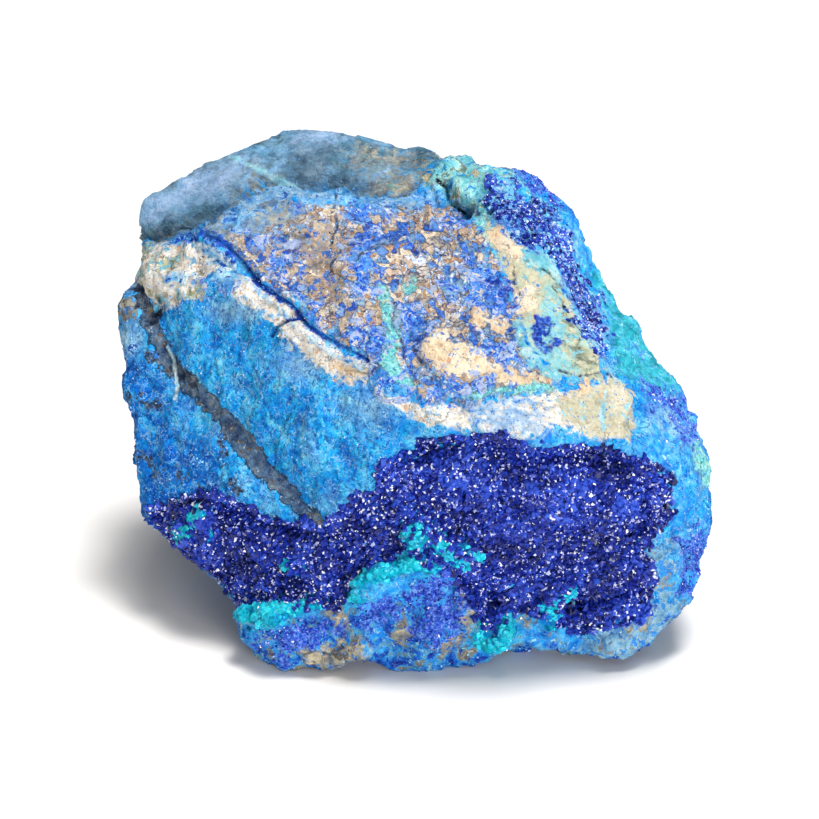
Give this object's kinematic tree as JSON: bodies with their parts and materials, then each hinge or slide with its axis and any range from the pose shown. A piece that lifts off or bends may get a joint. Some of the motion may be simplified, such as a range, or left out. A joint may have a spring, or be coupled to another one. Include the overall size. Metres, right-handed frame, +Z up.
{
  "type": "azurite with malachite mineral specimen",
  "caption": "Hand-sized blue azurite and green malachite on broken host rock, with a dark crystal-lined hollow along the front and a flat resting face.",
  "frame": {"origin": "on the surface the stone rests on, under the middle of its box", "axes": "+Z up, +X to the right of the stone's front along its longest side, -Y towards the viewer of the crystal-lined front"},
  "size_m": [0.0762, 0.057, 0.0545],
  "materials": {
    "host_rock": "earthy matt sky-blue azurite skin over cream, tan and grey rock, with turquoise malachite",
    "azurite_druse": "small deep indigo crystals with glassy faces"
  },
  "bodies": {
    "root": {"host_rock": "host_rock", "azurite_druse": "azurite_druse"}
  },
  "joints": []
}
